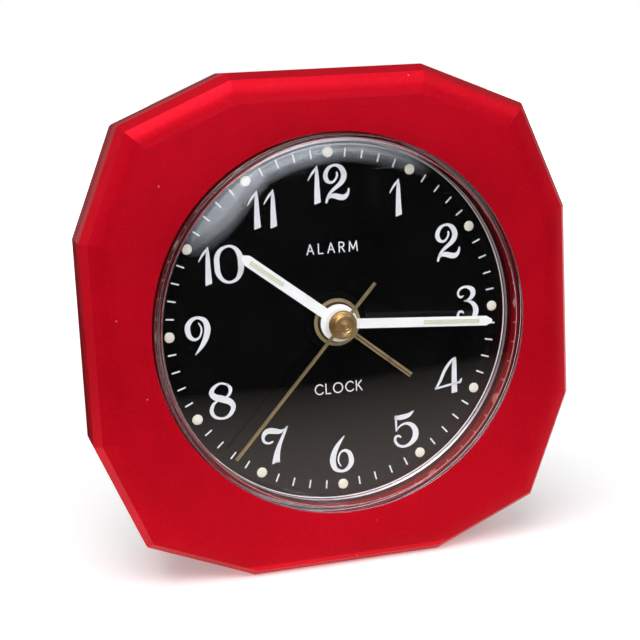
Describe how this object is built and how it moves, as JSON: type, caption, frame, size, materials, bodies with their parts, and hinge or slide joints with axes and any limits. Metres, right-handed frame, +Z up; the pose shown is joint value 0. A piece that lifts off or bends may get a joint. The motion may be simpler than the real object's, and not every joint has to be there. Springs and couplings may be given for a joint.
{
  "type": "travel alarm clock",
  "caption": "Twelve-sided red travel alarm clock with domed clear crystal, black luminous dial, quartz alarm movement, battery bay and setting knobs on the back.",
  "frame": {"origin": "middle of the front frame's underside, where the clock stands", "axes": "+Z up, +Y from the dial towards the back, +X to the right as seen from the front; the dial faces -Y"},
  "size_m": [0.0826, 0.0339, 0.0826],
  "materials": {
    "red_case": "satin red moulding with a fine grain",
    "rear_red": "darker satin red moulding",
    "cover_red": "darker satin red moulding",
    "clear_acrylic": "clear polished acrylic",
    "black_dial": "glossy black lacquer",
    "print_white": "printed ink",
    "lume": "luminous paint",
    "white_hand": "white lacquer",
    "gold_hand": "gilt",
    "brass": "turned brass",
    "steel": "plain steel",
    "spring_steel": "nickelled",
    "copper": "enamelled copper wire",
    "magnet": "sintered magnet",
    "board_green": "solder resist",
    "cell_jacket": "printed jacket",
    "black_plastic": "fine texture",
    "white_plastic": "plain",
    "clear_plastic": "smoky",
    "gear_plastic": "acetal",
    "knob_plastic": "fine texture"
  },
  "bodies": {
    "case": {"front_frame": "red_case", "crystal": "clear_acrylic", "dial": "black_dial", "rear_case": "rear_red", "case_screws": "steel", "battery_aa": "cell_jacket", "battery_contact_positive": "spring_steel", "battery_contact_negative": "spring_steel", "movement_front_plate": "black_plastic", "movement_middle_plate": "white_plastic", "movement_rear_housing": "clear_plastic", "movement_screws": "steel", "stator": "steel", "coil_bobbin": "white_plastic", "coil_winding": "copper", "circuit_board": "board_green", "clock_chip": "black_plastic", "quartz_can": "steel", "piezo_buzzer": "brass", "buzzer_contacts": "brass", "alarm_contact_spring": "brass"},
    "seconds": {"second_hand": "gold_hand", "second_cap": "brass", "second_arbor": "steel", "second_wheel": "gear_plastic"},
    "third": {"third_wheel": "gear_plastic"},
    "centre": {"centre_wheel": "brass"},
    "intermediate": {"intermediate_wheel": "gear_plastic"},
    "rotor": {"rotor_magnet": "magnet", "rotor_pinion": "gear_plastic"},
    "minutes": {"minute_hand": "white_hand", "minute_lume": "lume", "cannon_pinion": "brass"},
    "motion": {"motion_wheel": "gear_plastic"},
    "hours": {"hour_hand": "white_hand", "hour_lume": "lume", "hour_wheel": "gear_plastic"},
    "time_setting": {"time_set_shaft": "white_plastic", "time_set_knob": "knob_plastic"},
    "alarm": {"alarm_hand": "gold_hand", "alarm_wheel": "gear_plastic"},
    "alarm_setting": {"alarm_set_shaft": "white_plastic", "alarm_set_knob": "knob_plastic"},
    "switch": {"alarm_switch": "knob_plastic"},
    "cover": {"battery_cover": "cover_red"}
  },
  "joints": [
    {"name": "seconds_turn", "type": "hinge", "parent": "case", "child": "seconds", "pos_m": [0, 0, 0.0413], "axis": [0, 1, 0], "continuous": true},
    {"name": "third_turn", "type": "hinge", "parent": "case", "child": "third", "pos_m": [-0.00589, 0, 0.0447], "axis": [0, 1, 0], "continuous": true},
    {"name": "centre_turn", "type": "hinge", "parent": "case", "child": "centre", "pos_m": [0, 0, 0.0413], "axis": [0, 1, 0], "continuous": true},
    {"name": "intermediate_turn", "type": "hinge", "parent": "case", "child": "intermediate", "pos_m": [0.0059, 0, 0.04543], "axis": [0, 1, 0], "continuous": true},
    {"name": "rotor_turn", "type": "hinge", "parent": "case", "child": "rotor", "pos_m": [0.01075, 0, 0.04823], "axis": [0, 1, 0], "continuous": true},
    {"name": "minutes_turn", "type": "hinge", "parent": "case", "child": "minutes", "pos_m": [0, 0, 0.0413], "axis": [0, 1, 0], "continuous": true},
    {"name": "motion_turn", "type": "hinge", "parent": "case", "child": "motion", "pos_m": [-0.00653, 0, 0.03826], "axis": [0, 1, 0], "continuous": true},
    {"name": "hours_turn", "type": "hinge", "parent": "case", "child": "hours", "pos_m": [0, 0, 0.0413], "axis": [0, 1, 0], "continuous": true},
    {"name": "time_setting_turn", "type": "hinge", "parent": "case", "child": "time_setting", "pos_m": [-0.01329, 0, 0.03579], "axis": [0, 1, 0], "continuous": true},
    {"name": "alarm_turn", "type": "hinge", "parent": "case", "child": "alarm", "pos_m": [0, 0, 0.0413], "axis": [0, 1, 0], "continuous": true},
    {"name": "alarm_setting_turn", "type": "hinge", "parent": "case", "child": "alarm_setting", "pos_m": [0.00935, 0, 0.0359], "axis": [0, 1, 0], "continuous": true},
    {"name": "switch_slide", "type": "slide", "parent": "case", "child": "switch", "axis": [0, 0, 1], "range_m": [0, 0.004]},
    {"name": "cover_pull", "type": "slide", "parent": "case", "child": "cover", "axis": [0, 1, 0], "range_m": [0, 0.012]}
  ],
  "couplings": [
    {"joint": "third_turn", "follows": "seconds_turn", "ratio": -0.13333},
    {"joint": "centre_turn", "follows": "seconds_turn", "ratio": 0.016667},
    {"joint": "intermediate_turn", "follows": "seconds_turn", "ratio": -5},
    {"joint": "rotor_turn", "follows": "seconds_turn", "ratio": 30},
    {"joint": "motion_turn", "follows": "minutes_turn", "ratio": -0.33333},
    {"joint": "hours_turn", "follows": "minutes_turn", "ratio": 0.083333},
    {"joint": "time_setting_turn", "follows": "minutes_turn", "ratio": 1},
    {"joint": "alarm_setting_turn", "follows": "alarm_turn", "ratio": -2}
  ]
}
